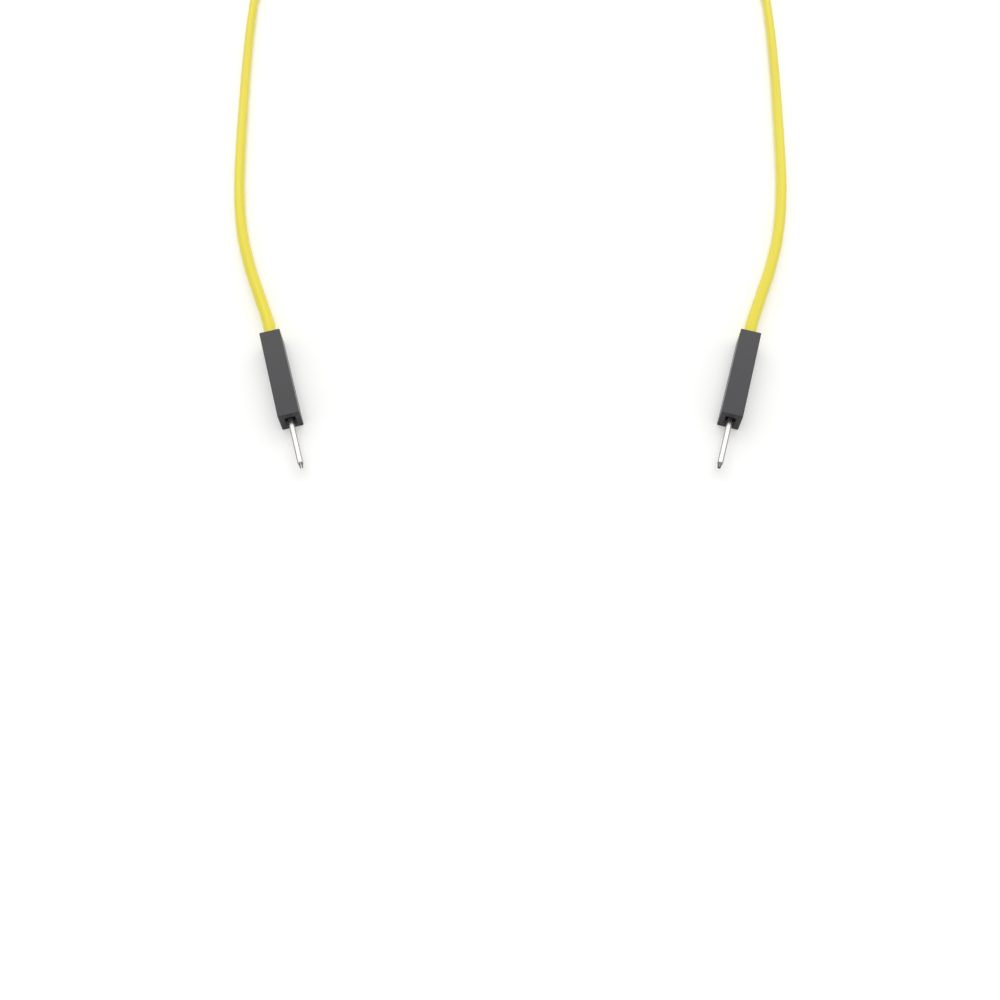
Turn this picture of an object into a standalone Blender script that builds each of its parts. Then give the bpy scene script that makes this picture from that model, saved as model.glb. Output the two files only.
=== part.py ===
"""Breadboard jumper wire: a crimped pin contact in a moulded housing at each end of one insulated wire.

The wire lies on a flat surface with its two plugs side by side at the front and bends round behind them.
Metres, +Z up, with the origin on the surface below the middle of the two plugs.
"""

import math

import bmesh
import bpy
from mathutils import Matrix, Vector
from mathutils.geometry import interpolate_bezier

# Insulated wire
WIRE_DIAMETER = 0.0014
STRAND_DIAMETER = 0.00015
BORE_CLEARANCE = 0.00004
STRAND_LAY = 0.005
STRAND_TURN_STEPS = 18
OUTER_STRANDS = 6
LOBE_SPREAD_DEG = 65.0
WIRE_SIDES_RESOLUTION = 2
CURVE_STEPS = 24
ROUTE_STEP = 0.00395
STRAIGHT_RUN_OUT = 0.003

# Contact, folded from one strip of sheet
SHEET = 0.00018
BEND_RADIUS = 0.00016
PIN_WIDTH = 0.00064
PIN_REACH = 0.007
PIN_EDGE_RADIUS = 0.00018
PRONG_LENGTH = 0.0006
PRONG_ROOT_STEP = 0.00005
PRONG_TIP_WIDTH = 0.00034
PRONG_EDGE_RADIUS = 0.00012
LONG_EDGE_STEPS = 3
SPLIT_WIDTH = 0.00012
SEAM_WIDTH = 0.00005
SEAM_DEPTH = 0.00007
SHOULDER_LENGTH = 0.0009
SHOULDER_STEP = 0.00026
SHOULDER_SETBACK = 0.000045
BOX_WIDTH = 0.00176
BOX_LENGTH = 0.0032
BOX_SEAM = 0.00006
LIP_HEIGHT = 0.00042
NECK_LENGTH = 0.0012
NECK_SHARES = ((0.35, 0.25), (0.75, 0.85))
CONDUCTOR_BARREL_LENGTH = 0.002
BARREL_GAP = 0.001
BARREL_GAP_BLEND = 0.7
INSULATION_BARREL_LENGTH = 0.0018
TAB_LENGTH = 0.0003
CRIMP_CLEARANCE = 0.00003
CRIMP_SHOULDER = 0.00012
CRIMP_EXTRA_WIDTH = 0.000075
CRIMP_FLOOR_END_DEG = -25.0
CRIMP_SIDE_START_DEG = -15.0
CRIMP_CURL_DEG = 118.0
GRIP_FLOOR_END_DEG = -45.0
GRIP_WING_END_DEG = 78.0
BELL_MOUTH = 0.00005
BELL_MOUTH_LENGTH = 0.00025
BRUSH_LENGTH = 0.0004
BARE_ENTRY = 0.00012
STRIP_MARGIN = 0.0003
FLOOR_STEPS = 4
WING_STEPS = 9
ARC_POINTS = 12

# Housing, moulded in one piece with its latch tongue
HOUSING_LENGTH = 0.014
HOUSING_WALL = 0.00031
HOUSING_EDGE_RADIUS = 0.0001
CAVITY_CLEARANCE = 0.00005
SEAT_CLEARANCE = 0.00004
FRONT_WALL = 0.0009
PIN_CLEARANCE = 0.00013
LEAD_IN_DEPTH = 0.00045
LEAD_IN_FLARE = 0.00022
MOUTH_CHAMFER = 0.00014
WINDOW_FRONT_GAP = 0.0005
TONGUE_LENGTH = 0.0026
TONGUE_WIDTH = 0.00094
TONGUE_SLOT = 0.00018
TONGUE_THICKNESS = 0.00022
TONGUE_ROOT_DIP = 0.00005
TONGUE_DIP = 0.00014
CATCH_BITE = 0.00025
CATCH_LENGTH = 0.0007
CATCH_FLAT = 0.00025

# Lie of the two plugs on the surface
FACE_SPACING = 0.0515
PLUG_YAW = math.radians(18.2)
LEFT_ROLL = math.radians(180.0)
RIGHT_ROLL = math.radians(90.0)

# Route of the wire from the left plug to the middle of its bend
LEFT_ROUTE = [
    (-0.0329, 0.0172, 0.00114),
    (-0.0345, 0.0211, 0.00095),
    (-0.036, 0.0251, 0.00081),
    (-0.0374, 0.0294, 0.00073),
    (-0.0387, 0.0344, 0.00071),
    (-0.04, 0.0408, 0.00071),
    (-0.0413, 0.049, 0.00071),
    (-0.043, 0.061, 0.00071),
    (-0.0448, 0.0745, 0.00071),
    (-0.0465, 0.0895, 0.00071),
    (-0.0469, 0.0974, 0.00071),
    (-0.0449, 0.104, 0.00071),
    (-0.0399, 0.109, 0.00071),
    (-0.0319, 0.1126, 0.00071),
    (-0.0216, 0.1149, 0.00071),
    (-0.0108, 0.116, 0.00071),
]
BEND_MIDDLE = (0.0, 0.1163, 0.00071)

# Sizes that follow
WIRE_RADIUS = WIRE_DIAMETER / 2
CONDUCTOR_RADIUS = 1.5 * STRAND_DIAMETER
BOX_HALF = BOX_WIDTH / 2
BARREL_OUTER_RADIUS = WIRE_RADIUS + CRIMP_CLEARANCE + SHEET
CAVITY_HALF = max(BOX_HALF, BARREL_OUTER_RADIUS) + CAVITY_CLEARANCE
HOUSING_HALF = CAVITY_HALF + HOUSING_WALL
HOLE_HALF = PIN_WIDTH / 2 + PIN_CLEARANCE
SHOULDER_FRONT = FRONT_WALL + SEAT_CLEARANCE
SHOULDER_REAR = SHOULDER_FRONT + SHOULDER_LENGTH
BOX_REAR = SHOULDER_REAR + BOX_LENGTH
CONDUCTOR_BARREL_FRONT = BOX_REAR + NECK_LENGTH
CONDUCTOR_BARREL_REAR = CONDUCTOR_BARREL_FRONT + CONDUCTOR_BARREL_LENGTH
INSULATION_BARREL_FRONT = CONDUCTOR_BARREL_REAR + BARREL_GAP
INSULATION_BARREL_REAR = INSULATION_BARREL_FRONT + INSULATION_BARREL_LENGTH
INSULATION_START = INSULATION_BARREL_FRONT - STRIP_MARGIN
TONGUE_TIP = BOX_REAR + SEAT_CLEARANCE
TONGUE_ROOT = TONGUE_TIP + TONGUE_LENGTH
WINDOW_FRONT = TONGUE_TIP - WINDOW_FRONT_GAP
WINDOW_HALF = TONGUE_WIDTH / 2 + TONGUE_SLOT
CONTACT_FLOOR = -(BOX_HALF - SHEET / 2)
CONDUCTOR_HEIGHT = CONTACT_FLOOR + SHEET / 2 + CRIMP_CLEARANCE + CONDUCTOR_RADIUS
OVERSHOOT = 0.0002


def clear_scene():
    for item in list(bpy.data.objects):
        bpy.data.objects.remove(item, do_unlink=True)


def new_collection(name):
    collection = bpy.data.collections.new(name)
    bpy.context.scene.collection.children.link(collection)
    return collection


def new_material(name, colour, roughness, metallic):
    material = bpy.data.materials.new(name)
    material.use_nodes = True
    shader = material.node_tree.nodes["Principled BSDF"]
    shader.inputs["Base Color"].default_value = (*colour, 1.0)
    shader.inputs["Roughness"].default_value = roughness
    shader.inputs["Metallic"].default_value = metallic
    return material


def add_object(name, data, collection):
    item = bpy.data.objects.new(name, data)
    collection.objects.link(item)
    return item


def hide_helper(item):
    item.hide_render = True
    item.display_type = "WIRE"


def mesh_from(bm, name):
    mesh = bpy.data.meshes.new(name)
    bm.to_mesh(mesh)
    bm.free()
    return mesh


def box_mesh(name, low, high):
    """Box between two corners."""
    low = Vector(low)
    high = Vector(high)
    size = high - low
    place = Matrix.Translation((low + high) / 2) @ Matrix.Diagonal((size.x, size.y, size.z, 1.0))
    bm = bmesh.new()
    bmesh.ops.create_cube(bm, size=1.0, matrix=place)
    return mesh_from(bm, name)


def square_taper_mesh(name, front, rear, front_half, rear_half, edge_radius=0.0):
    """Four-sided taper along the plug axis, square at both ends, with its long edges rounded if asked."""
    turn = Matrix.Rotation(math.radians(-90.0), 4, "X") @ Matrix.Rotation(math.radians(45.0), 4, "Z")
    middle = (front + rear) / 2
    place = Matrix.Translation((0.0, middle, 0.0)) @ turn
    bm = bmesh.new()
    bmesh.ops.create_cone(
        bm,
        cap_ends=True,
        cap_tris=False,
        segments=4,
        radius1=front_half * math.sqrt(2.0),
        radius2=rear_half * math.sqrt(2.0),
        depth=rear - front,
        matrix=place,
    )
    if edge_radius:
        long_edges = []
        for edge in bm.edges:
            start, end = (vertex.co.y > middle for vertex in edge.verts)
            if start != end:
                long_edges.append(edge)
        bmesh.ops.bevel(
            bm,
            geom=long_edges,
            offset=edge_radius,
            segments=LONG_EDGE_STEPS,
            profile=0.5,
            affect="EDGES",
        )
    return mesh_from(bm, name)


def add_bevel(item, width, segments):
    bevel = item.modifiers.new("Bevel", "BEVEL")
    bevel.width = width
    bevel.segments = segments
    bevel.limit_method = "ANGLE"


def add_boolean(item, operation, operand):
    boolean = item.modifiers.new(operation.capitalize(), "BOOLEAN")
    boolean.operation = operation
    boolean.solver = "EXACT"
    boolean.object = operand
    hide_helper(operand)


def evaluated_mesh(item, name):
    bpy.context.view_layer.update()
    depsgraph = bpy.context.evaluated_depsgraph_get()
    mesh = bpy.data.meshes.new_from_object(item.evaluated_get(depsgraph), depsgraph=depsgraph)
    mesh.name = name
    return mesh


# Housing, in the plug's own frame: mating face at Y = 0, rear towards +Y, latch window towards +Z

def tongue_outline():
    """Side view of the latch tongue: sprung inwards from its root, with a catch below its tip."""
    top_root = HOUSING_HALF - TONGUE_ROOT_DIP
    top_tip = HOUSING_HALF - TONGUE_DIP
    catch = BOX_HALF - CATCH_BITE
    root = TONGUE_ROOT + HOUSING_WALL
    return [
        (root, top_root),
        (TONGUE_TIP, top_tip),
        (TONGUE_TIP, catch),
        (TONGUE_TIP + CATCH_FLAT, catch),
        (TONGUE_TIP + CATCH_LENGTH, top_tip - TONGUE_THICKNESS),
        (root, top_root - TONGUE_THICKNESS),
    ]


def add_tongue(collection):
    curve = bpy.data.curves.new("tongue_outline", "CURVE")
    curve.dimensions = "2D"
    curve.fill_mode = "BOTH"
    curve.extrude = TONGUE_WIDTH / 2
    outline = tongue_outline()
    spline = curve.splines.new("POLY")
    spline.points.add(len(outline) - 1)
    for point, (along, height) in zip(spline.points, outline):
        point.co = (along, height, 0.0, 1.0)
    spline.use_cyclic_u = True
    flat = add_object("tongue_outline", curve, collection)
    mesh = evaluated_mesh(flat, "latch_tongue")
    bpy.data.objects.remove(flat, do_unlink=True)
    bm = bmesh.new()
    bm.from_mesh(mesh)
    bmesh.ops.remove_doubles(bm, verts=bm.verts, dist=0.000001)
    upright = Matrix(((0, 0, 1, 0), (1, 0, 0, 0), (0, 1, 0, 0), (0, 0, 0, 1)))
    bmesh.ops.transform(bm, matrix=upright, verts=bm.verts)
    bmesh.ops.recalc_face_normals(bm, faces=bm.faces)
    return add_object("latch_tongue", mesh_from(bm, "latch_tongue"), collection)


def housing_mesh(helpers):
    half = HOUSING_HALF
    block = box_mesh("housing_block", (-half, 0.0, -half), (half, HOUSING_LENGTH, half))
    housing = add_object("housing_block", block, helpers)
    add_bevel(housing, HOUSING_EDGE_RADIUS, 2)
    beyond = HOUSING_LENGTH + OVERSHOOT
    cavity = box_mesh(
        "cavity",
        (-CAVITY_HALF, FRONT_WALL, -CAVITY_HALF),
        (CAVITY_HALF, beyond, CAVITY_HALF),
    )
    mouth = square_taper_mesh(
        "mouth_chamfer",
        HOUSING_LENGTH - 2 * MOUTH_CHAMFER,
        HOUSING_LENGTH + 2 * MOUTH_CHAMFER,
        CAVITY_HALF - MOUTH_CHAMFER,
        CAVITY_HALF + MOUTH_CHAMFER * 2,
    )
    hole = box_mesh(
        "pin_hole",
        (-HOLE_HALF, -OVERSHOOT, -HOLE_HALF),
        (HOLE_HALF, FRONT_WALL + OVERSHOOT, HOLE_HALF),
    )
    lead_in = square_taper_mesh(
        "lead_in",
        -LEAD_IN_DEPTH,
        LEAD_IN_DEPTH,
        HOLE_HALF + 2 * LEAD_IN_FLARE,
        HOLE_HALF,
    )
    window = box_mesh(
        "latch_window",
        (-WINDOW_HALF, WINDOW_FRONT, CAVITY_HALF - OVERSHOOT),
        (WINDOW_HALF, TONGUE_ROOT, HOUSING_HALF + OVERSHOOT),
    )
    for mesh in (cavity, mouth, hole, lead_in, window):
        add_boolean(housing, "DIFFERENCE", add_object(mesh.name, mesh, helpers))
    add_boolean(housing, "UNION", add_tongue(helpers))
    mesh = evaluated_mesh(housing, "housing")
    bpy.data.objects.remove(housing, do_unlink=True)
    return mesh


# Contact, in the same frame; each section is half of the middle line of the sheet, from floor to wing tip

def arc_points(centre, radii, start_deg, end_deg):
    points = []
    for index in range(ARC_POINTS):
        angle = math.radians(start_deg + (end_deg - start_deg) * index / (ARC_POINTS - 1))
        points.append((centre[0] + radii[0] * math.cos(angle), centre[1] + radii[1] * math.sin(angle)))
    return points


def blend_points(first, second, share):
    return tuple(a + (b - a) * share for a, b in zip(first, second))


def resample(points, steps):
    """Points at even distances along a chain of straight pieces."""
    lengths = [math.dist(a, b) for a, b in zip(points, points[1:])]
    total = sum(lengths)
    result = [points[0]]
    for index in range(1, steps):
        target = total * index / steps
        for start, end, length in zip(points, points[1:], lengths):
            if target <= length:
                share = target / length
                result.append(blend_points(start, end, share))
                break
            target -= length
    result.append(points[-1])
    return result


def box_section():
    half = BOX_HALF - SHEET / 2
    inner = half - BEND_RADIUS
    radii = (BEND_RADIUS, BEND_RADIUS)
    floor = [(0.0, -half)] + arc_points((inner, -inner), radii, -90, 0) + [(half, LIP_HEIGHT - half)]
    wing = [(half, LIP_HEIGHT - half)] + arc_points((inner, inner), radii, 0, 90)
    wing.append((BOX_SEAM / 2, half))
    return resample(floor, FLOOR_STEPS), resample(wing, WING_STEPS)


def conductor_barrel_section(flare):
    """B-shaped crimp: both wings curl over and dip towards each other above the strands."""
    height = CONDUCTOR_RADIUS + CRIMP_CLEARANCE + SHEET / 2
    width = height + CRIMP_EXTRA_WIDTH + flare
    middle = CONTACT_FLOOR + height
    floor = arc_points((0.0, middle), (width, height), -90, CRIMP_FLOOR_END_DEG)
    shoulder = middle + CRIMP_SHOULDER + flare
    hump = width / 2
    wing = [floor[-1]] + arc_points((0.0, middle), (width, height), CRIMP_SIDE_START_DEG, 0)
    wing += arc_points((hump, shoulder), (hump, hump), 0, CRIMP_CURL_DEG)
    return resample(floor, FLOOR_STEPS), resample(wing, WING_STEPS)


def insulation_barrel_section():
    """Open ring that grips the insulation."""
    radius = BARREL_OUTER_RADIUS - SHEET / 2
    floor = arc_points((0.0, 0.0), (radius, radius), -90, GRIP_FLOOR_END_DEG)
    wing = arc_points((0.0, 0.0), (radius, radius), GRIP_FLOOR_END_DEG, GRIP_WING_END_DEG)
    return resample(floor, FLOOR_STEPS), resample(wing, WING_STEPS)


def blend_sections(first, second, share):
    return [blend_points(a, b, share) for a, b in zip(first, second)]


def contact_stations():
    """Places along the strip, each with its floor half, and its wing half where the wings reach it."""
    box_floor, box_wing = box_section()
    barrel_floor, barrel_wing = conductor_barrel_section(0.0)
    mouth_floor, mouth_wing = conductor_barrel_section(BELL_MOUTH)
    grip_floor, grip_wing = insulation_barrel_section()
    box_front = SHOULDER_REAR - SHEET / 2
    barrel_straight_end = CONDUCTOR_BARREL_REAR - BELL_MOUTH_LENGTH
    wide_floor_start = CONDUCTOR_BARREL_REAR + BARREL_GAP_BLEND * (INSULATION_START - CONDUCTOR_BARREL_REAR)
    tab_end = INSULATION_BARREL_REAR + TAB_LENGTH
    neck = []
    for along_share, blend_share in NECK_SHARES:
        section = blend_sections(box_floor, barrel_floor, blend_share)
        neck.append((BOX_REAR + NECK_LENGTH * along_share, section, None))
    return [
        (box_front, box_floor, box_wing),
        (BOX_REAR, box_floor, box_wing),
        *neck,
        (CONDUCTOR_BARREL_FRONT, barrel_floor, barrel_wing),
        (barrel_straight_end, barrel_floor, barrel_wing),
        (CONDUCTOR_BARREL_REAR, mouth_floor, mouth_wing),
        (wide_floor_start, grip_floor, None),
        (INSULATION_BARREL_FRONT, grip_floor, grip_wing),
        (INSULATION_BARREL_REAR, grip_floor, grip_wing),
        (tab_end, grip_floor, None),
    ]


def sheet_mesh():
    """Open surface of the folded strip: a full-length floor with wings only where a box or barrel stands."""
    bm = bmesh.new()
    floor_rows = []
    wing_rows = []
    for along, floor, wing in contact_stations():
        right = [bm.verts.new((x, along, z)) for x, z in floor]
        left = [right[0]] + [bm.verts.new((-x, along, z)) for x, z in floor[1:]]
        floor_rows.append(left[::-1] + right[1:])
        if wing is None:
            wing_rows.append(None)
            continue
        right_wing = [right[-1]] + [bm.verts.new((x, along, z)) for x, z in wing[1:]]
        left_wing = [left[-1]] + [bm.verts.new((-x, along, z)) for x, z in wing[1:]]
        wing_rows.append((left_wing[::-1], right_wing))
    for near, far in zip(floor_rows, floor_rows[1:]):
        fill_strip(bm, near, far)
    for near, far in zip(wing_rows, wing_rows[1:]):
        if near is not None and far is not None:
            for near_wing, far_wing in zip(near, far):
                fill_strip(bm, near_wing, far_wing)
    bmesh.ops.recalc_face_normals(bm, faces=bm.faces)
    return mesh_from(bm, "folded_strip")


def fill_strip(bm, near, far):
    for index in range(len(near) - 1):
        bm.faces.new((near[index], near[index + 1], far[index + 1], far[index]))


def contact_mesh(helpers):
    strip = add_object("folded_strip", sheet_mesh(), helpers)
    thickness = strip.modifiers.new("Sheet", "SOLIDIFY")
    thickness.thickness = SHEET
    thickness.offset = 0.0
    thickness.use_even_offset = True
    pin_half = PIN_WIDTH / 2
    prong_root = -(PIN_REACH - PRONG_LENGTH)
    pin = square_taper_mesh("pin", prong_root, SHOULDER_FRONT + SHEET, pin_half, pin_half, PIN_EDGE_RADIUS)
    prongs = square_taper_mesh(
        "prongs",
        -PIN_REACH,
        prong_root + SHEET,
        PRONG_TIP_WIDTH / 2,
        pin_half - PRONG_ROOT_STEP,
        PRONG_EDGE_RADIUS,
    )
    shoulder = square_taper_mesh(
        "shoulder",
        SHOULDER_FRONT,
        SHOULDER_REAR,
        pin_half + SHOULDER_STEP,
        BOX_HALF - SHOULDER_SETBACK,
    )
    split = box_mesh(
        "prong_split",
        (-SPLIT_WIDTH / 2, -PIN_REACH - OVERSHOOT, -PIN_WIDTH),
        (SPLIT_WIDTH / 2, prong_root + SEAM_DEPTH, PIN_WIDTH),
    )
    seam = box_mesh(
        "pin_seam",
        (-SEAM_WIDTH / 2, prong_root - SEAM_WIDTH / 2, pin_half - SEAM_DEPTH),
        (SEAM_WIDTH / 2, SHOULDER_FRONT - SEAT_CLEARANCE, PIN_WIDTH),
    )
    contact = strip
    add_boolean(contact, "UNION", add_object("shoulder", shoulder, helpers))
    add_boolean(contact, "UNION", add_object("pin", pin, helpers))
    add_boolean(contact, "UNION", add_object("prongs", prongs, helpers))
    add_boolean(contact, "DIFFERENCE", add_object("prong_split", split, helpers))
    add_boolean(contact, "DIFFERENCE", add_object("pin_seam", seam, helpers))
    mesh = evaluated_mesh(contact, "contact")
    bpy.data.objects.remove(contact, do_unlink=True)
    return mesh


# Plugs on the surface

def face_y():
    """Puts the middle of the plugs' depth, pin tip to rear corner, over the origin."""
    reach = HOUSING_LENGTH - PIN_REACH
    across = HOUSING_HALF - PRONG_TIP_WIDTH / 2
    return -(reach * math.cos(PLUG_YAW) + across * math.sin(PLUG_YAW)) / 2


def plug_place(side, roll):
    """World place of a plug; side is -1 for the left plug and 1 for the right one."""
    spot = Matrix.Translation((side * FACE_SPACING / 2, face_y(), HOUSING_HALF))
    return spot @ Matrix.Rotation(-side * PLUG_YAW, 4, "Z") @ Matrix.Rotation(roll, 4, "Y")


def add_plug(side_name, side, roll, meshes, materials, collection):
    mount = add_object(side_name + "_plug", None, collection)
    mount.matrix_world = plug_place(side, roll)
    for part, mesh in meshes.items():
        item = add_object(side_name + "_" + part, mesh.copy(), collection)
        item.parent = mount
        item.data.materials.clear()
        item.data.materials.append(materials[part])


# Wire

def smooth_curve(points):
    """Dense points on one smooth curve through the given points."""
    tangents = []
    for index in range(len(points)):
        before = points[max(index - 1, 0)]
        after = points[min(index + 1, len(points) - 1)]
        tangents.append((after - before).normalized())
    dense = []
    for index in range(len(points) - 1):
        start = points[index]
        end = points[index + 1]
        reach = (end - start).length / 3
        handle_start = start + tangents[index] * reach
        handle_end = end - tangents[index + 1] * reach
        dense += interpolate_bezier(start, handle_start, handle_end, end, CURVE_STEPS)[:-1]
    return dense + [points[-1]]


def even_points(dense, step):
    """Points at even distances along a dense curve, both ends kept."""
    lengths = [(b - a).length for a, b in zip(dense, dense[1:])]
    total = sum(lengths)
    count = max(2, round(total / step))
    result = [dense[0]]
    index = 0
    passed = 0.0
    for number in range(1, count):
        target = total * number / count
        while passed + lengths[index] < target:
            passed += lengths[index]
            index += 1
        share = (target - passed) / lengths[index]
        result.append(dense[index].lerp(dense[index + 1], share))
    return result + [dense[-1]]


def wire_ends(place):
    """Start of the insulation and two points straight out of a plug."""
    return [
        place @ Vector((0.0, INSULATION_START, 0.0)),
        place @ Vector((0.0, HOUSING_LENGTH, 0.0)),
        place @ Vector((0.0, HOUSING_LENGTH + STRAIGHT_RUN_OUT, 0.0)),
    ]


def wire_centreline():
    left = [Vector(point) for point in LEFT_ROUTE]
    right = [Vector((-point.x, point.y, point.z)) for point in reversed(left)]
    middle = [Vector(BEND_MIDDLE)]
    start = wire_ends(plug_place(-1, LEFT_ROLL))
    end = wire_ends(plug_place(1, RIGHT_ROLL))
    dense = smooth_curve(start + left + middle + right + end[::-1])
    return even_points(dense, ROUTE_STEP)


def bare_end(place):
    """Centreline of one bare end, from inside the insulation barrel to the brush in front of the crimp."""
    first = CONDUCTOR_BARREL_REAR + BARE_ENTRY
    last = CONDUCTOR_BARREL_FRONT - BRUSH_LENGTH
    count = max(2, round((first - last) / (STRAND_LAY / STRAND_TURN_STEPS)))
    points = [place @ Vector((0.0, INSULATION_START, 0.0))]
    for index in range(count + 1):
        along = first + (last - first) * index / count
        points.append(place @ Vector((0.0, along, CONDUCTOR_HEIGHT)))
    return points


def poly_curve(name, points, collection):
    curve = bpy.data.curves.new(name, "CURVE")
    curve.dimensions = "3D"
    spline = curve.splines.new("POLY")
    spline.points.add(len(points) - 1)
    for target, point in zip(spline.points, points):
        target.co = (*point, 1.0)
    return add_object(name, curve, collection), spline


def add_insulation(centreline, material, collection, helpers):
    sweep, spline = poly_curve("insulation_sweep", centreline, helpers)
    sweep.data.bevel_depth = WIRE_RADIUS
    sweep.data.bevel_resolution = WIRE_SIDES_RESOLUTION
    mesh = evaluated_mesh(sweep, "wire_insulation")
    bpy.data.objects.remove(sweep, do_unlink=True)
    insulation = add_object("wire_insulation", mesh, collection)
    sides = 4 + 2 * WIRE_SIDES_RESOLUTION
    flat_radius = WIRE_RADIUS * math.cos(math.pi / sides)
    wall = insulation.modifiers.new("Wall", "SOLIDIFY")
    wall.thickness = flat_radius - CONDUCTOR_RADIUS - BORE_CLEARANCE
    wall.offset = -1.0
    wall.use_even_offset = True
    mesh.materials.clear()
    mesh.materials.append(material)


def strand_bundle_profile(helpers):
    """Outline of the outer strands laid round the middle one."""
    strand = STRAND_DIAMETER / 2
    profile, spline = poly_curve("strand_bundle", strand_outline(strand), helpers)
    profile.data.dimensions = "2D"
    spline.use_cyclic_u = True
    hide_helper(profile)
    return profile


def strand_outline(strand):
    points = []
    for lobe in range(OUTER_STRANDS):
        for spread in (LOBE_SPREAD_DEG, 0.0, -LOBE_SPREAD_DEG):
            outwards = -2 * math.pi * lobe / OUTER_STRANDS
            around = outwards + math.radians(spread)
            x = 2 * strand * math.cos(outwards) + strand * math.cos(around)
            y = 2 * strand * math.sin(outwards) + strand * math.sin(around)
            points.append((x, y, 0.0))
    return points


def add_conductor(centreline, material, collection, helpers):
    left_end = bare_end(plug_place(-1, LEFT_ROLL))
    right_end = bare_end(plug_place(1, RIGHT_ROLL))
    points = left_end[::-1] + centreline[1:-1] + right_end
    conductor, spline = poly_curve("conductor", points, collection)
    twist = 2 * math.pi / STRAND_TURN_STEPS
    for index in range(len(left_end)):
        spline.points[index].tilt = twist * (len(left_end) - index)
        spline.points[len(points) - 1 - index].tilt = -twist * (len(right_end) - index)
    conductor.data.bevel_mode = "OBJECT"
    conductor.data.bevel_object = strand_bundle_profile(helpers)
    conductor.data.use_fill_caps = True
    conductor.data.materials.append(material)


def build():
    clear_scene()
    parts = new_collection("breadboard_jumper_wire")
    helpers = new_collection("cutters")
    materials = {
        "housing": new_material("moulded_black_plastic", (0.03, 0.029, 0.031), 0.5, 0.0),
        "contact": new_material("tin_plated_contact", (0.8, 0.79, 0.77), 0.28, 1.0),
        "insulation": new_material("yellow_pvc", (0.85, 0.74, 0.1), 0.42, 0.0),
        "conductor": new_material("copper_strand", (0.78, 0.42, 0.26), 0.35, 1.0),
    }
    meshes = {"housing": housing_mesh(helpers), "contact": contact_mesh(helpers)}
    add_plug("left", -1, LEFT_ROLL, meshes, materials, parts)
    add_plug("right", 1, RIGHT_ROLL, meshes, materials, parts)
    centreline = wire_centreline()
    add_insulation(centreline, materials["insulation"], parts, helpers)
    add_conductor(centreline, materials["conductor"], parts, helpers)


build()
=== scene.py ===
import math

import bmesh
import bpy
from mathutils import Matrix, Vector
from mathutils.geometry import interpolate_bezier


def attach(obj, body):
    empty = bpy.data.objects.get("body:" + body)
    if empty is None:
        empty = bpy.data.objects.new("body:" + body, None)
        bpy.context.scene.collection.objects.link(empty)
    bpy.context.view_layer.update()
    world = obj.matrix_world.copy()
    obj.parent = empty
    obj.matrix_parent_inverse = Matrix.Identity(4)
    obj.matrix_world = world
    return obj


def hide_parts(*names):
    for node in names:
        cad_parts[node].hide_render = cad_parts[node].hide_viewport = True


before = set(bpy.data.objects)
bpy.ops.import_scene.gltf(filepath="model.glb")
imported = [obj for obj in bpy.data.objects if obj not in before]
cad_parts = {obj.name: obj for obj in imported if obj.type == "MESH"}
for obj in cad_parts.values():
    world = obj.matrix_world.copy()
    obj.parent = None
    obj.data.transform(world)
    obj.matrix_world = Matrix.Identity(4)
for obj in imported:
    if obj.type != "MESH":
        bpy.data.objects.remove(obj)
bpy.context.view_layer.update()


# Conductor: seven soft strands of bright drawn copper, laid together with a slow twist. Each end is stripped
# bare, laid on the floor of its contact and gripped there, and its cut strands stand out as a brush.
STRAND_DIAMETER = 0.00015
STRAND_GAP = 0.000002
STRAND_LAY = 0.005
OUTER_STRANDS = 6
STRAND_SIDES = 6
STRAND_STEP = 0.00045
CURVE_STEPS = 24
CRIMP_FLOOR_DROP = 0.000445
BRUSH_TIP = 0.00584
CRIMP_REAR = 0.00836
STRIPPED_TO = 0.00894
HOUSING_LENGTH = 0.014
STRAIGHT_RUN_OUT = 0.003
FACE_SPACING = 0.0515
FACE_Y = -0.003497
PLUG_HALF = 0.00127
PLUG_YAW_DEG = 18.2
LEFT_ROLL_DEG = 180.0
RIGHT_ROLL_DEG = 90.0
LEFT_ROUTE = [
    (-0.0329, 0.0172, 0.00114),
    (-0.0345, 0.0211, 0.00095),
    (-0.036, 0.0251, 0.00081),
    (-0.0374, 0.0294, 0.00073),
    (-0.0387, 0.0344, 0.00071),
    (-0.04, 0.0408, 0.00071),
    (-0.0413, 0.049, 0.00071),
    (-0.043, 0.061, 0.00071),
    (-0.0448, 0.0745, 0.00071),
    (-0.0465, 0.0895, 0.00071),
    (-0.0469, 0.0974, 0.00071),
    (-0.0449, 0.104, 0.00071),
    (-0.0399, 0.109, 0.00071),
    (-0.0319, 0.1126, 0.00071),
    (-0.0216, 0.1149, 0.00071),
    (-0.0108, 0.116, 0.00071),
]
BEND_MIDDLE = (0.0, 0.1163, 0.00071)
COPPER_TONES = ("#B4663C", "#D6946A")
COPPER_ROUGHNESS = (0.24, 0.42)
COPPER_PATCH_MM = 0.6
NOISE_SPREAD = (0.3, 0.7)


def srgb(hex_colour):
    """Linear colour of an sRGB hex value, with the numbers that define sRGB."""
    channels = []
    for start in (1, 3, 5):
        value = int(hex_colour[start:start + 2], 16) / 255
        channels.append(value / 12.92 if value <= 0.04045 else ((value + 0.055) / 1.055) ** 2.4)
    return (*channels, 1.0)


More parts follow.
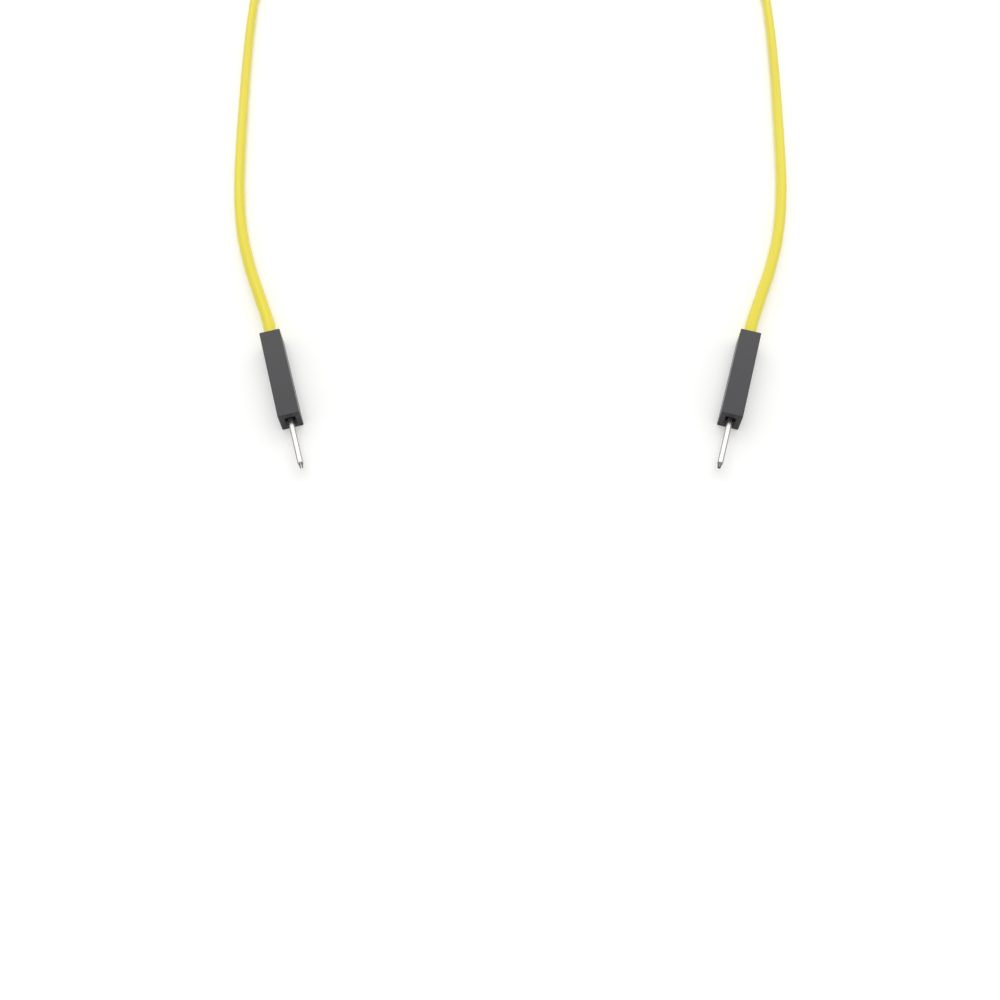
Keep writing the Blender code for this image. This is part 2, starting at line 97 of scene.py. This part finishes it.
def add_node(tree, kind, inputs=None, feeds=None, stops=None, **settings):
    """Adds a node. settings are its own properties; inputs are values, or (node, output) pairs to link.

    feeds is the (node, input) that its output goes to, and stops are the places and colours of a ramp.
    """
    node = tree.nodes.new(kind)
    for name, value in settings.items():
        setattr(node, name, value)
    for name, value in (inputs or {}).items():
        if isinstance(value, tuple) and isinstance(value[0], bpy.types.Node):
            tree.links.new(value[0].outputs[value[1]], node.inputs[name])
        else:
            node.inputs[name].default_value = value
    if stops:
        for element, (place, colour) in zip(node.color_ramp.elements, stops):
            element.position = place
            element.color = srgb(colour)
    if feeds:
        output = next(socket for socket in node.outputs if socket.enabled)
        tree.links.new(output, feeds[0].inputs[feeds[1]])
    return node


def new_material(name, metallic=0.0):
    """New material, its node tree and its surface shader."""
    material = bpy.data.materials.new(name)
    material.use_nodes = True
    shader = material.node_tree.nodes["Principled BSDF"]
    shader.inputs["Metallic"].default_value = metallic
    return material, material.node_tree, shader


def smooth_curve(points):
    """Dense points on one smooth curve through the given points, with handles a third of the way along."""
    tangents = []
    for index in range(len(points)):
        before = points[max(index - 1, 0)]
        after = points[min(index + 1, len(points) - 1)]
        tangents.append((after - before).normalized())
    dense = []
    for index in range(len(points) - 1):
        start = points[index]
        end = points[index + 1]
        reach = (end - start).length / 3
        handle_start = start + tangents[index] * reach
        handle_end = end - tangents[index + 1] * reach
        dense += interpolate_bezier(start, handle_start, handle_end, end, CURVE_STEPS)[:-1]
    return dense + [points[-1]]


def even_points(dense, step):
    """Points at even distances along a dense curve, both ends kept."""
    lengths = [(b - a).length for a, b in zip(dense, dense[1:])]
    total = sum(lengths)
    count = max(2, round(total / step))
    result = [dense[0]]
    index = 0
    passed = 0.0
    for number in range(1, count):
        target = total * number / count
        while passed + lengths[index] < target:
            passed += lengths[index]
            index += 1
        share = (target - passed) / lengths[index]
        result.append(dense[index].lerp(dense[index + 1], share))
    return result + [dense[-1]]


def plug_place(side, roll_deg):
    """World place of a plug; side is -1 for the left plug and 1 for the right one."""
    spot = Matrix.Translation((side * FACE_SPACING / 2, FACE_Y, PLUG_HALF))
    turn = Matrix.Rotation(-side * math.radians(PLUG_YAW_DEG), 4, "Z")
    return spot @ turn @ Matrix.Rotation(math.radians(roll_deg), 4, "Y")


PLUG_PLACES = {"left": plug_place(-1, LEFT_ROLL_DEG), "right": plug_place(1, RIGHT_ROLL_DEG)}


def plug_points(side_name, stops):
    """Points given by their distance behind the mating face and their height in the plug."""
    return [PLUG_PLACES[side_name] @ Vector((0.0, along, height)) for along, height in stops]


def ring_frame(line, index):
    """Directions across and up at one point of a line."""
    before = line[max(index - 1, 0)]
    after = line[min(index + 1, len(line) - 1)]
    ahead = (after - before).normalized()
    across = ahead.cross(Vector((0, 0, 1))).normalized()
    return across, across.cross(ahead)


def link_mesh(name, bm):
    """New object of a finished mesh, shaded smooth."""
    bmesh.ops.recalc_face_normals(bm, faces=bm.faces)
    mesh = bpy.data.meshes.new(name)
    bm.to_mesh(mesh)
    bm.free()
    mesh.shade_smooth()
    item = bpy.data.objects.new(name, mesh)
    bpy.context.scene.collection.objects.link(item)
    return item


def lay_strands(line):
    """Seven round strands, six of them wound round the middle one, a hair apart so that no corners meet."""
    bm = bmesh.new()
    radius = (STRAND_DIAMETER - STRAND_GAP) / 2
    turn = 2 * math.pi * (line[1] - line[0]).length / STRAND_LAY
    for strand in range(OUTER_STRANDS + 1):
        off_centre = STRAND_DIAMETER if strand else 0.0
        rings = []
        for index, point in enumerate(line):
            across, upwards = ring_frame(line, index)
            around = turn * index + 2 * math.pi * strand / OUTER_STRANDS
            centre = point + (across * math.cos(around) + upwards * math.sin(around)) * off_centre
            ring = []
            for side in range(STRAND_SIDES):
                angle = 2 * math.pi * side / STRAND_SIDES + around
                spoke = across * math.cos(angle) + upwards * math.sin(angle)
                ring.append(bm.verts.new(centre + spoke * radius))
            rings.append(ring)
        for near, far in zip(rings, rings[1:]):
            for side in range(STRAND_SIDES):
                other = (side + 1) % STRAND_SIDES
                bm.faces.new((near[side], near[other], far[other], far[side]))
        bm.faces.new(rings[0])
        bm.faces.new(rings[-1])
    return link_mesh("copper_strands", bm)


route = [Vector(point) for point in LEFT_ROUTE]
route_back = [Vector((-point.x, point.y, point.z)) for point in reversed(route)]
tube_stops = [(STRIPPED_TO, 0.0), (HOUSING_LENGTH, 0.0), (HOUSING_LENGTH + STRAIGHT_RUN_OUT, 0.0)]
strip_stops = [(BRUSH_TIP, -CRIMP_FLOOR_DROP), (CRIMP_REAR, -CRIMP_FLOOR_DROP)]
left_tube = plug_points("left", tube_stops)
right_tube = plug_points("right", tube_stops)
tube_course = smooth_curve(left_tube + route + [Vector(BEND_MIDDLE)] + route_back + right_tube[::-1])
strand_course = plug_points("left", strip_stops) + tube_course + plug_points("right", strip_stops)[::-1]
strands = lay_strands(even_points(strand_course, STRAND_STEP))
# Bright drawn copper, a little browner where fingers and air have reached it.
copper, tree, shader = new_material("drawn_bare_copper", metallic=1.0)
spot = add_node(tree, "ShaderNodeTexCoord")
patches = add_node(tree, "ShaderNodeTexNoise", {"Vector": (spot, "Object"), "Scale": 1000 / COPPER_PATCH_MM})
add_node(
    tree,
    "ShaderNodeValToRGB",
    {"Fac": (patches, "Fac")},
    stops=list(zip(NOISE_SPREAD, COPPER_TONES)),
    feeds=(shader, "Base Color"),
)
add_node(
    tree,
    "ShaderNodeMapRange",
    {"Value": (patches, "Fac"), "To Min": COPPER_ROUGHNESS[0], "To Max": COPPER_ROUGHNESS[1]},
    feeds=(shader, "Roughness"),
)
strands.data.materials.append(copper)
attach(strands, "root")
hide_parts("conductor")


# Insulation: one length of soft PVC extruded over the strands. A thin web was torn off along each side of it
# and has left a low ragged ridge. The wire comes straight out of each housing, sinks to the surface under its
# own weight and lies there in one wide bend.
WIRE_DIAMETER = 0.0014
WIRE_LENGTH = 0.2997
BORE_DIAMETER = 0.00053
RIDGE_HEIGHT = 0.00005
RIDGE_TEAR = 0.00004
RIDGE_HALF_DEG = 8.0
RING_SIDES_HALF = 14
RING_STEP = 0.0006
TEAR_LENGTHS = (0.0023, 0.0037, 0.0071)
TEAR_SHIFT = 7.0
PVC_TONES = ("#ECDA2C", "#F4E742")
PVC_TORN = "#F6EEA6"
PVC_ROUGHNESS = (0.36, 0.5)
STREAK_LENGTH_MM = 30.0
STREAKS_ROUND = 12.0
STREAK_DETAIL = 3.0
PEEL_GRAIN_MM = 0.35
PEEL_HEIGHT_MM = 0.006
DIE_LINE_LENGTH_MM = 12.0
DIE_LINES_ROUND = 60.0
DIE_LINE_HEIGHT_MM = 0.004
SHARP_RIM_DEG = 50.0


def tear(distance):
    """Slow irregular wave between -1 and 1, for places where the web tore."""
    waves = 0.0
    for number, length in enumerate(TEAR_LENGTHS):
        waves += math.sin(2 * math.pi * distance / length + TEAR_SHIFT * number)
    return waves / len(TEAR_LENGTHS)


def ring_points(distance):
    """Angle, reach and torn share of each point round the tube, with a ridge at either side."""
    radius = WIRE_DIAMETER / 2
    clear = 180.0 - 2 * RIDGE_HALF_DEG
    points = []
    for side in range(2):
        height = RIDGE_HEIGHT + RIDGE_TEAR * tear(distance + side * WIRE_LENGTH)
        points.append((180.0 * side, radius + height, 1.0))
        for step in range(RING_SIDES_HALF + 1):
            points.append((180.0 * side + RIDGE_HALF_DEG + clear * step / RING_SIDES_HALF, radius, 0.0))
    return [(math.radians(angle), reach, torn) for angle, reach, torn in points]


def bridge_rings(bm, near, far, stops, turns, uv_layer):
    """Faces between two rings of as many points, with their places in the UV map."""
    for index in range(len(near)):
        other = (index + 1) % len(near)
        face = bm.faces.new((near[index], near[other], far[other], far[index]))
        places = ((stops[0], index), (stops[0], index + 1), (stops[1], index + 1), (stops[1], index))
        for loop, (along, corner) in zip(face.loops, places):
            loop[uv_layer].uv = (along, turns[corner])


def extrude_tube(line):
    """Tube with its bore, and a UV map in which U is metres along it and V is turns round it."""
    bm = bmesh.new()
    uv_layer = bm.loops.layers.uv.new("along_and_round")
    torn_layer = bm.verts.layers.float.new("torn_web")
    skin = []
    bore = []
    stops = []
    distance = 0.0
    for index, point in enumerate(line):
        across, upwards = ring_frame(line, index)
        if index:
            distance += (point - line[index - 1]).length
        stops.append(distance)
        skin.append([])
        bore.append([])
        for angle, reach, torn in ring_points(distance):
            spoke = across * math.cos(angle) + upwards * math.sin(angle)
            vertex = bm.verts.new(point + spoke * reach)
            vertex[torn_layer] = torn
            skin[-1].append(vertex)
            bore[-1].append(bm.verts.new(point + spoke * BORE_DIAMETER / 2))
    turns = [angle / (2 * math.pi) for angle, reach, torn in ring_points(0.0)] + [1.0]
    for rings in (skin, bore):
        for index in range(len(line) - 1):
            bridge_rings(bm, rings[index], rings[index + 1], stops[index:index + 2], turns, uv_layer)
    for end in (0, -1):
        bridge_rings(bm, skin[end], bore[end], (stops[end], stops[end]), turns, uv_layer)
    return link_mesh("pvc_insulation", bm)


tube_line = even_points(tube_course, RING_STEP)
insulation = extrude_tube(tube_line)
insulation.data.set_sharp_from_angle(angle=math.radians(SHARP_RIM_DEG))
# A colour Mix node has three pairs of inputs, and its two colours are known by their numbers.
MIX_FIRST = 6
MIX_SECOND = 7
pvc, tree, shader = new_material("extruded_soft_pvc_yellow")
wrap = add_node(tree, "ShaderNodeUVMap", uv_map="along_and_round")
# Pigment: faint streaks drawn out along the wire, and whitened plastic where the web tore.
streak_place = add_node(tree, "ShaderNodeMapping", {
    "Vector": (wrap, "UV"),
    "Scale": (1000 / STREAK_LENGTH_MM, STREAKS_ROUND, 1.0),
})
streaks = add_node(tree, "ShaderNodeTexNoise", {
    "Vector": (streak_place, "Vector"),
    "Scale": 1.0,
    "Detail": STREAK_DETAIL,
})
pigment = add_node(
    tree,
    "ShaderNodeValToRGB",
    {"Fac": (streaks, "Fac")},
    stops=list(zip(NOISE_SPREAD, PVC_TONES)),
)
torn = add_node(tree, "ShaderNodeAttribute", attribute_name="torn_web")
add_node(
    tree,
    "ShaderNodeMix",
    {"Factor": (torn, "Fac"), MIX_FIRST: (pigment, "Color"), MIX_SECOND: srgb(PVC_TORN)},
    data_type="RGBA",
    feeds=(shader, "Base Color"),
)
# Surface: satin with a soft orange peel and the die's own fine lines. The lines are drawn several times too
# wide, or they would not show.
spot = add_node(tree, "ShaderNodeTexCoord")
peel = add_node(tree, "ShaderNodeTexNoise", {"Vector": (spot, "Object"), "Scale": 1000 / PEEL_GRAIN_MM})
line_place = add_node(tree, "ShaderNodeMapping", {
    "Vector": (wrap, "UV"),
    "Scale": (1000 / DIE_LINE_LENGTH_MM, DIE_LINES_ROUND, 1.0),
})
lines = add_node(tree, "ShaderNodeTexNoise", {"Vector": (line_place, "Vector"), "Scale": 1.0})
add_node(
    tree,
    "ShaderNodeMapRange",
    {"Value": (streaks, "Fac"), "To Min": PVC_ROUGHNESS[0], "To Max": PVC_ROUGHNESS[1]},
    feeds=(shader, "Roughness"),
)
peel_bump = add_node(tree, "ShaderNodeBump", {"Height": (peel, "Fac"), "Distance": PEEL_HEIGHT_MM / 1000})
add_node(
    tree,
    "ShaderNodeBump",
    {"Height": (lines, "Fac"), "Distance": DIE_LINE_HEIGHT_MM / 1000, "Normal": (peel_bump, "Normal")},
    feeds=(shader, "Normal"),
)
insulation.data.materials.append(pvc)
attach(insulation, "root")
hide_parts("wire_insulation")


# Contacts: each is stamped and folded from one strip of tin-plated bronze. A square pin with a seam and a
# split tip stands at the front, then comes the box that the housing latches behind, then the two crimps.
MERGE_WITHIN = 0.000001
FLAT_WITHIN_DEG = 0.5
CONTACT_EDGE = 0.000012
SMOOTH_CONTACT_DEG = 32.0
BRONZE_INDEX = 1
TAB_CUT_AT = 0.0113
TIN_TONES = ("#C1BFBC", "#D8D6D3")
TIN_ROUGHNESS = (0.2, 0.34)
# Colour of the painted dark reflection along the pin's edges and on its split tip.
TIN_PAINTED_DARK_REFLECTION = "#7A7672"
PIN_FLAT_SUM = 0.0005
PIN_CORNER_SUM = 0.000535
TIP_START = -0.0064
BRONZE_TONES = ("#A86A42", "#C98E63")
BRONZE_ROUGHNESS = (0.35, 0.5)
ROLL_LINE_WIDTH_MM = 0.06
ROLL_LINE_LENGTH_MM = 2.5
ROLL_LINE_HEIGHT_MM = 0.0015
TIN_PATCH_MM = 0.7
SHEAR_GRAIN_MM = 0.06


def merged_copy(node, name):
    """Mesh of a solid with its triangles joined up into whole flat faces."""
    bpy.ops.object.select_all(action="DESELECT")
    item = bpy.data.objects.new(name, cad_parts[node].data.copy())
    item.data.materials.clear()
    bpy.context.scene.collection.objects.link(item)
    bpy.context.view_layer.objects.active = item
    item.select_set(True)
    bpy.ops.object.mode_set(mode="EDIT")
    bpy.ops.mesh.select_all(action="SELECT")
    bpy.ops.mesh.remove_doubles(threshold=MERGE_WITHIN)
    bpy.ops.mesh.dissolve_limited(angle_limit=math.radians(FLAT_WITHIN_DEG))
    bpy.ops.object.mode_set(mode="OBJECT")
    return item


def soften_edges(item, width, angle_deg):
    """Breaks the sharp edges with one narrow face each and shades the faces beside them flat."""
    bpy.ops.object.modifier_add(type="BEVEL")
    bevel = item.modifiers[-1]
    bevel.width = width
    bevel.segments = 1
    bevel.limit_method = "ANGLE"
    bevel.angle_limit = math.radians(angle_deg)
    bevel.use_clamp_overlap = True
    bpy.ops.object.modifier_apply(modifier=bevel.name)
    bpy.ops.object.shade_smooth_by_angle(angle=math.radians(angle_deg))
    bpy.ops.object.modifier_add(type="WEIGHTED_NORMAL")
    item.modifiers[-1].keep_sharp = True
    bpy.ops.object.modifier_apply(modifier=item.modifiers[-1].name)


def mark_plug_coordinates(item, place):
    """Each point's place in its own plug, so that a pattern lies along the plug and not along the surface."""
    to_plug = place.inverted()
    layer = item.data.attributes.new("in_plug", "FLOAT_VECTOR", "POINT")
    for entry, vertex in zip(layer.data, item.data.vertices):
        entry.vector = to_plug @ vertex.co


# Electroplated tin: fine rolling lines along the strip and slightly duller patches.
tin, tree, shader = new_material("electroplated_tin", metallic=1.0)
spot = add_node(tree, "ShaderNodeAttribute", attribute_name="in_plug")
patches = add_node(tree, "ShaderNodeTexNoise", {"Vector": (spot, "Vector"), "Scale": 1000 / TIN_PATCH_MM})
plating = add_node(
    tree,
    "ShaderNodeValToRGB",
    {"Fac": (patches, "Fac")},
    stops=list(zip(NOISE_SPREAD, TIN_TONES)),
)
add_node(
    tree,
    "ShaderNodeMapRange",
    {"Value": (patches, "Fac"), "To Min": TIN_ROUGHNESS[0], "To Max": TIN_ROUGHNESS[1]},
    feeds=(shader, "Roughness"),
)
# Painted dark reflection: a thin dark line is painted down each edge of the pin, and its split tip is painted
# dark against the white, where the rounded metal would mirror a dark surrounding.
plug_axes = add_node(tree, "ShaderNodeSeparateXYZ", {"Vector": (spot, "Vector")})
sideways = add_node(tree, "ShaderNodeMath", {0: (plug_axes, "X")}, operation="ABSOLUTE")
upwards = add_node(tree, "ShaderNodeMath", {0: (plug_axes, "Z")}, operation="ABSOLUTE")
off_axis = add_node(tree, "ShaderNodeMath", {0: (sideways, 0), 1: (upwards, 0)}, operation="ADD")
edge = add_node(tree, "ShaderNodeMapRange", {
    "Value": (off_axis, 0),
    "From Min": PIN_FLAT_SUM,
    "From Max": PIN_CORNER_SUM,
})
on_tip = add_node(tree, "ShaderNodeMath", {0: (plug_axes, "Y"), 1: TIP_START}, operation="LESS_THAN")
edge_or_tip = add_node(tree, "ShaderNodeMath", {0: (edge, "Result"), 1: (on_tip, 0)}, operation="MAXIMUM")
on_pin = add_node(tree, "ShaderNodeMath", {0: (plug_axes, "Y"), 1: 0.0}, operation="LESS_THAN")
painted_dark_reflection = add_node(tree, "ShaderNodeMath", {0: (edge_or_tip, 0), 1: (on_pin, 0)}, operation="MULTIPLY")
# Mixes the painted dark reflection into the plating's colour on the pin's edges and tip.
add_node(
    tree,
    "ShaderNodeMix",
    {"Factor": (painted_dark_reflection, 0), MIX_FIRST: (plating, "Color"), MIX_SECOND: srgb(TIN_PAINTED_DARK_REFLECTION)},
    data_type="RGBA",
    feeds=(shader, "Base Color"),
)
line_place = add_node(tree, "ShaderNodeMapping", {
    "Vector": (spot, "Vector"),
    "Scale": (1000 / ROLL_LINE_WIDTH_MM, 1000 / ROLL_LINE_LENGTH_MM, 1000 / ROLL_LINE_WIDTH_MM),
})
lines = add_node(tree, "ShaderNodeTexNoise", {"Vector": (line_place, "Vector"), "Scale": 1.0})
add_node(
    tree,
    "ShaderNodeBump",
    {"Height": (lines, "Fac"), "Distance": ROLL_LINE_HEIGHT_MM / 1000},
    feeds=(shader, "Normal"),
)

# Sheared bronze: the strip was plated before it was cut, so the cut end of the tab shows the bare metal.
bronze, tree, shader = new_material("sheared_phosphor_bronze", metallic=1.0)
spot = add_node(tree, "ShaderNodeAttribute", attribute_name="in_plug")
burrs = add_node(tree, "ShaderNodeTexNoise", {"Vector": (spot, "Vector"), "Scale": 1000 / SHEAR_GRAIN_MM})
add_node(
    tree,
    "ShaderNodeValToRGB",
    {"Fac": (burrs, "Fac")},
    stops=list(zip(NOISE_SPREAD, BRONZE_TONES)),
    feeds=(shader, "Base Color"),
)
add_node(
    tree,
    "ShaderNodeMapRange",
    {"Value": (burrs, "Fac"), "To Min": BRONZE_ROUGHNESS[0], "To Max": BRONZE_ROUGHNESS[1]},
    feeds=(shader, "Roughness"),
)

for side_name, place in PLUG_PLACES.items():
    contact = merged_copy(side_name + "_contact", side_name + "_crimp_contact")
    soften_edges(contact, CONTACT_EDGE, SMOOTH_CONTACT_DEG)
    mark_plug_coordinates(contact, place)
    contact.data.materials.append(tin)
    contact.data.materials.append(bronze)
    for polygon in contact.data.polygons:
        if (place.inverted() @ polygon.center).y > TAB_CUT_AT:
            polygon.material_index = BRONZE_INDEX
    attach(contact, "root")
    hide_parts(side_name + "_contact")


# Housings: slim square shells moulded in one piece of black PBT, with a sprung latch tongue in the window.
# The crimped contact is pushed in from behind until the tongue drops behind its box.
SMOOTH_HOUSING_DEG = 35.0
HOUSING_EDGE = 0.00002
PBT_TONES = ("#232024", "#2A272C")
PBT_ROUGHNESS = (0.3, 0.38)
PBT_PATCH_MM = 3.0
PBT_PATCH_DETAIL = 4.0
SPARK_GRAIN_MM = 0.16
SPARK_HEIGHT_MM = 0.006

# Black PBT from a spark-eroded mould: satin, with a very fine even grain, drawn a few times too coarse so
# that it shows, and slight cloudiness from the flow of the plastic.
pbt, tree, shader = new_material("moulded_black_pbt")
spot = add_node(tree, "ShaderNodeAttribute", attribute_name="in_plug")
clouds = add_node(tree, "ShaderNodeTexNoise", {
    "Vector": (spot, "Vector"),
    "Scale": 1000 / PBT_PATCH_MM,
    "Detail": PBT_PATCH_DETAIL,
})
add_node(
    tree,
    "ShaderNodeValToRGB",
    {"Fac": (clouds, "Fac")},
    stops=list(zip(NOISE_SPREAD, PBT_TONES)),
    feeds=(shader, "Base Color"),
)
add_node(
    tree,
    "ShaderNodeMapRange",
    {"Value": (clouds, "Fac"), "To Min": PBT_ROUGHNESS[0], "To Max": PBT_ROUGHNESS[1]},
    feeds=(shader, "Roughness"),
)
grain = add_node(tree, "ShaderNodeTexNoise", {"Vector": (spot, "Vector"), "Scale": 1000 / SPARK_GRAIN_MM})
add_node(
    tree,
    "ShaderNodeBump",
    {"Height": (grain, "Fac"), "Distance": SPARK_HEIGHT_MM / 1000},
    feeds=(shader, "Normal"),
)

for side_name, place in PLUG_PLACES.items():
    housing = merged_copy(side_name + "_housing", side_name + "_plug_housing")
    soften_edges(housing, HOUSING_EDGE, SMOOTH_HOUSING_DEG)
    mark_plug_coordinates(housing, place)
    housing.data.materials.append(pbt)
    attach(housing, "root")
    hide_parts(side_name + "_housing")


# Surface: a plain sheet of matt white card. It reads as white in the picture and keeps the wire's soft
# shadow.
CARD_SIZE = 6.0
CARD_WHITE = "#F4F4F3"
CARD_GLOW = 0.18
CARD_FIBRE_MM = 1.5
CARD_FIBRE_HEIGHT_MM = 0.01
bpy.ops.object.select_all(action="DESELECT")
bpy.ops.mesh.primitive_plane_add(size=CARD_SIZE, location=(0.0, 0.0, 0.0))
card = bpy.context.active_object
card.name = "white_card"
matt_card, tree, shader = new_material("matt_white_card")
spot = add_node(tree, "ShaderNodeTexCoord")
fibres = add_node(tree, "ShaderNodeTexNoise", {"Vector": (spot, "Object"), "Scale": 1000 / CARD_FIBRE_MM})
add_node(
    tree,
    "ShaderNodeBump",
    {"Height": (fibres, "Fac"), "Distance": CARD_FIBRE_HEIGHT_MM / 1000},
    feeds=(shader, "Normal"),
)
shader.inputs["Base Color"].default_value = srgb(CARD_WHITE)
shader.inputs["Roughness"].default_value = 1.0
shader.inputs["Specular IOR Level"].default_value = 0.0
shader.inputs["Emission Color"].default_value = (1.0, 1.0, 1.0, 1.0)


def seen_rays(tree, strength, rest, feeds):
    """Adds strength to the rest for rays from the camera, from gloss and through glass."""
    rays = add_node(tree, "ShaderNodeLightPath")
    straight = {0: (rays, "Is Camera Ray"), 1: (rays, "Is Glossy Ray")}
    either = add_node(tree, "ShaderNodeMath", straight, operation="MAXIMUM")
    through = {0: (either, 0), 1: (rays, "Is Transmission Ray")}
    seen = add_node(tree, "ShaderNodeMath", through, operation="MAXIMUM")
    total = {0: (seen, 0), 1: strength, 2: rest}
    add_node(tree, "ShaderNodeMath", total, feeds, operation="MULTIPLY_ADD")


seen_rays(tree, CARD_GLOW, 0.0, feeds=(shader, "Emission Strength"))
card.data.materials.append(matt_card)


# Light: a white room that lights evenly, a large soft box high behind the plugs for the gloss along the wire
# and the pins, and a smaller one above them.
ROOM_LIGHT = 0.66
ROOM_SEEN = 0.14
BACK_BOX_PLACE = (0.0, 0.8, 0.8)
BACK_BOX_WIDTH = 1.6
BACK_BOX_HEIGHT = 0.8
BACK_BOX_WATTS = 4.6
TOP_BOX_PLACE = (0.0, -0.15, 0.8)
TOP_BOX_SIDE = 0.5
TOP_BOX_WATTS = 0.8
world = bpy.data.worlds.new("white_room")
world.use_nodes = True
bpy.context.scene.world = world
tree = world.node_tree
background = tree.nodes["Background"]
background.inputs["Color"].default_value = (1.0, 1.0, 1.0, 1.0)
seen_rays(tree, ROOM_SEEN, ROOM_LIGHT, feeds=(background, "Strength"))


def soft_box(name, place, width, height, watts):
    """Flat lamp that faces the middle of the surface."""
    data = bpy.data.lights.new(name, "AREA")
    data.energy = watts
    data.shape = "RECTANGLE"
    data.size = width
    data.size_y = height
    lamp = bpy.data.objects.new(name, data)
    lamp.location = place
    lamp.rotation_euler = (-Vector(place)).to_track_quat("-Z", "Y").to_euler()
    bpy.context.scene.collection.objects.link(lamp)


soft_box("back_soft_box", BACK_BOX_PLACE, BACK_BOX_WIDTH, BACK_BOX_HEIGHT, BACK_BOX_WATTS)
soft_box("top_soft_box", TOP_BOX_PLACE, TOP_BOX_SIDE, TOP_BOX_SIDE, TOP_BOX_WATTS)


# Camera: looks down on the two plugs from in front, close enough for a strong perspective. The wire's two
# ends run away from it and leave the picture at the top.
CAMERA_PLACE = (0.0, -0.06158, 0.0756)
CAMERA_DOWN_DEG = 57.63
CAMERA_LENS_MM = 28.8
CAMERA_SENSOR_MM = 36.0
PICTURE_PX = 1000
SYMMETRY_LINE_PX = 510.3
CAMERA_CLIP = (0.005, 20.0)
camera_data = bpy.data.cameras.new("camera")
camera_data.lens = CAMERA_LENS_MM
camera_data.sensor_width = CAMERA_SENSOR_MM
camera_data.shift_x = (PICTURE_PX / 2 - SYMMETRY_LINE_PX) / PICTURE_PX
camera_data.clip_start, camera_data.clip_end = CAMERA_CLIP
camera = bpy.data.objects.new("camera", camera_data)
camera.location = CAMERA_PLACE
camera.rotation_euler = (math.radians(90.0 - CAMERA_DOWN_DEG), 0.0, 0.0)
bpy.context.scene.collection.objects.link(camera)
bpy.context.scene.camera = camera
bpy.context.scene.view_settings.view_transform = "Standard"
